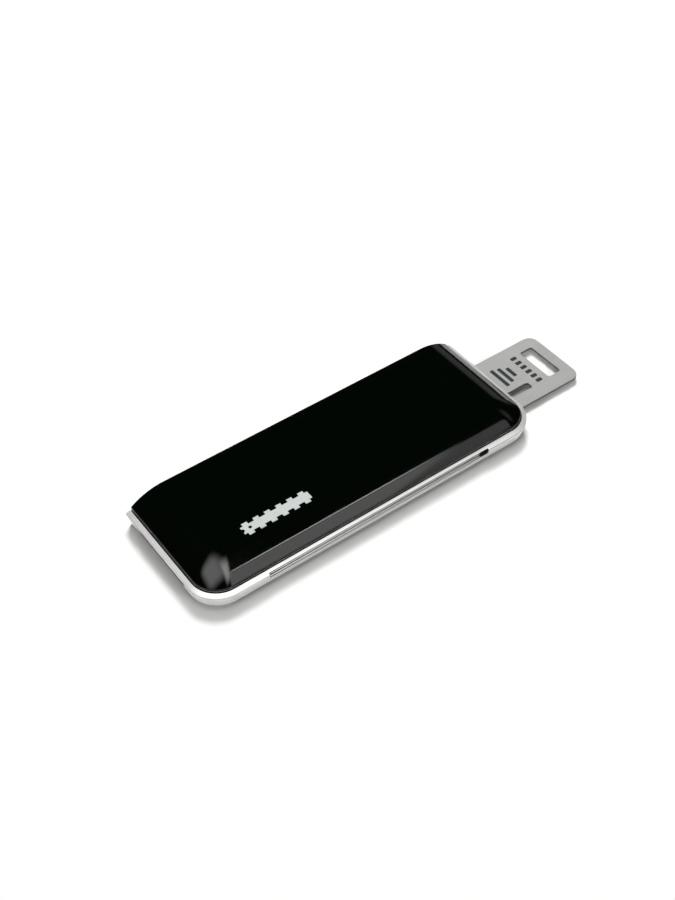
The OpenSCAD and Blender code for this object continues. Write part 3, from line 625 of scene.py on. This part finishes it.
# Side bar: an extruded aluminium strip that slides in the frame's channel. Each of its two
# rounded ribs is an arc about a centre (distance in from the frame's edge, height).
bar_low, bar_high, bar_face, bar_back = channel_low + 0.15, channel_high - 0.09, 0.62, 1.4
valley, eased = (0.66, 2.58), 0.06
sweep = np.radians(np.linspace(-100, 100, 25))
ribs = [np.column_stack([d - r * np.cos(sweep), z + r * np.sin(sweep)])
        for d, z, r in ((0.25, 2.44, 0.12), (0.33, 2.91, 0.07))]
outline = np.vstack([[(bar_face, bar_low)], ribs[0], [valley], ribs[1],
                     [(bar_face, bar_high), (bar_back, bar_high), (bar_back, bar_low)]])
x0, x1 = (corner.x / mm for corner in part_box("side_bar"))
rings = []
for x, drawn in ((x0, eased), (x0 + eased, 0.0), (x1 - eased, 0.0), (x1, eased)):
    inward = np.minimum(outline[:, 0] + drawn, bar_back)
    rings.append(np.column_stack([np.full(len(outline), x), inward - body_w / 2, outline[:, 1]]))
verts, faces = wrapped(np.array(rings))
drawn_metal = brushed("drawn_aluminium", (0.86, 0.86, 0.86), (0.94, 0.94, 0.935), 0.65, 0.3, 0.4,
                      200, 12000, 0.000003)
# The bar's faces more than 0.4 mm in from the frame's outer edge, between and behind its ribs, get the
# painted shade.
closed_mesh("side_bar_ribs", verts, faces, drawn_metal, "selector", ["side_bar"], 40,
            (painted_shade, lambda centres, normals: centres[:, 1] > 0.4 - body_w / 2))

# Cover: piano-black plastic, moulded 1 mm thick with a polished face. It has a flat top,
# crowned shoulders on three sides and a flat fourth side with a window for the socket.
crown, drop = 6.4, 2.08
crown_r = (crown ** 2 + drop ** 2) / (2 * drop)
edge_r, tightening = corner_r - ledge_w, 0.55


def crowned_outlines():
    """Closed plans of the cover from its lower edge to just inside its flat top, as a grid of
    points. A plan that is s in from the edge has corners of radius edge_r - tightening s, and
    stands the circle's drop below the top: crown_r - sqrt(crown_r^2 - (crown - s)^2)."""
    s = crown * (1 - np.cos(np.linspace(0, pi / 2, 34)))
    s = np.concatenate([[0.0], s, [crown + 0.12]])
    back = np.maximum(crown - s, 0)
    z = body_h - (crown_r - np.sqrt(crown_r ** 2 - back ** 2))
    z[0] = edge_z
    r = edge_r - tightening * np.minimum(s, crown)
    x, y = body_l / 2 - ledge_w - s, ledge_w - body_w / 2 + s
    turn = np.linspace(pi, 1.5 * pi, 25)[None, :]
    left = np.stack([-(x - r)[:, None] + r[:, None] * np.cos(turn),
                     (y + r)[:, None] + r[:, None] * np.sin(turn)], -1)
    right = left[:, ::-1] * [-1, 1]
    start = np.column_stack([-x, np.full(len(x), far_y)])[:, None]
    plan = np.concatenate([start, left, right, start * [-1, 1]], 1)
    return np.dstack([plan, np.broadcast_to(z[:, None], plan.shape[:2])]).transpose(1, 0, 2)


rings = crowned_outlines()
n, m = rings.shape[:2]
verts = rings.reshape(-1, 3)
i, j = np.meshgrid(np.arange(n - 1), np.arange(m - 1), indexing="ij")
faces = np.stack([i * m + j, i * m + j + 1, (i + 1) * m + j + 1, (i + 1) * m + j], -1)
faces = faces.reshape(-1, 4).tolist()
faces.append([k * m + m - 1 for k in range(n)])
window = [(window_x1, far_y, edge_z), (window_x1, far_y, window_head),
          (window_x0, far_y, window_head), (window_x0, far_y, edge_z)]
last = (n - 1) * m
faces.append(list(range(m)) + [last + q for q in range(m)][::-1] + [n * m + q for q in range(4)])
verts = np.vstack([verts, window])

gloss, tree, shader = finish("piano_black", (0.0004, 0.0014, 0.0005), 0, 0.05)
shader.inputs["IOR"].default_value = 1.5
smudge = node(tree, "ShaderNodeGroup", {}, node_tree=grain_group)
smudge.inputs["Scale"].default_value = 1500
dull = node(tree, "ShaderNodeMapRange",
            {"To Min": 0.035, "To Max": 0.085, "From Min": 0.35, "From Max": 0.7},
            {"Value": smudge.outputs["Drift"]})
tree.links.new(dull.outputs[0], shader.inputs["Roughness"])
peel = node(tree, "ShaderNodeBump", {"Strength": 0.25, "Distance": 0.00001},
            {"Height": smudge.outputs["Drift"]})
tree.links.new(peel.outputs["Normal"], shader.inputs["Normal"])
cover = closed_mesh("cover_shell", verts, faces, gloss, "case", ["top_cover"], 30)
flat = np.array([len(face.vertices) > 4 for face in cover.data.polygons])
cover.data.polygons.foreach_set("use_smooth", ~flat)
wall = cover.modifiers.new("wall", "SOLIDIFY")
wall.thickness = 1.0 * mm
wall.offset = -1
wall.use_even_offset = True
edges = cover.modifiers.new("eased_edges", "BEVEL")
edges.width = 0.09 * mm
edges.segments = 3
edges.limit_method = "ANGLE"
edges.angle_limit = radians(30)
edges.use_clamp_overlap = False
edges.harden_normals = True

# Cover mark: a thin silver print of a chip seen from above, screen-printed near the corner
# of the cover. It has a notched end, a hole for a dot and six pins on each side.
mark_at = np.array([-15.95, -4.45])
chip_x, chip_y, pin_x, pin_y, pitch = 6.6, 0.8, 0.525, 1.35, 2.2
notch = np.linspace(pi / 2, -pi / 2, 13)
outer = np.column_stack([0.4 * np.cos(notch) - chip_x, 0.4 * np.sin(notch)]).tolist()
pins = [pitch * (k + 0.5) - chip_x for k in range(6)]
for side, places in ((-1, pins), (1, pins[::-1])):
    outer.append((side * chip_x, side * chip_y))
    for x in places:
        near, far = x + side * pin_x, x - side * pin_x
        outer += [(near, side * chip_y), (near, side * pin_y), (far, side * pin_y), (far, side * chip_y)]
    outer.append((-side * chip_x, side * chip_y))
turn = np.linspace(2 * pi, 0, 25)[:-1]
dot = np.column_stack([0.3 * np.cos(turn) - 5.1, 0.3 * np.sin(turn)])
verts, faces = stamped_sheet([rounded(outer, 0.05, 2) + mark_at, dot + mark_at],
                             body_h - 0.05, body_h + 0.01, 0.008)
silver = grained("silver_print", (0.50, 0.53, 0.52), (0.56, 0.59, 0.58), 0.1, 0.45, 0.55, 9000, 0.000003)
closed_mesh("cover_print", verts, faces, silver, "case", ["cover_mark"])

# Case screws: four zinc-plated countersunk screws with cross recesses, driven up through
# the bottom plate into the cover's bosses.
put_on(cad["case_screws"], grained("zinc_plate", (0.55, 0.56, 0.58), (0.42, 0.43, 0.45), 1, 0.28, 0.42,
                                   7000, 0.000003))
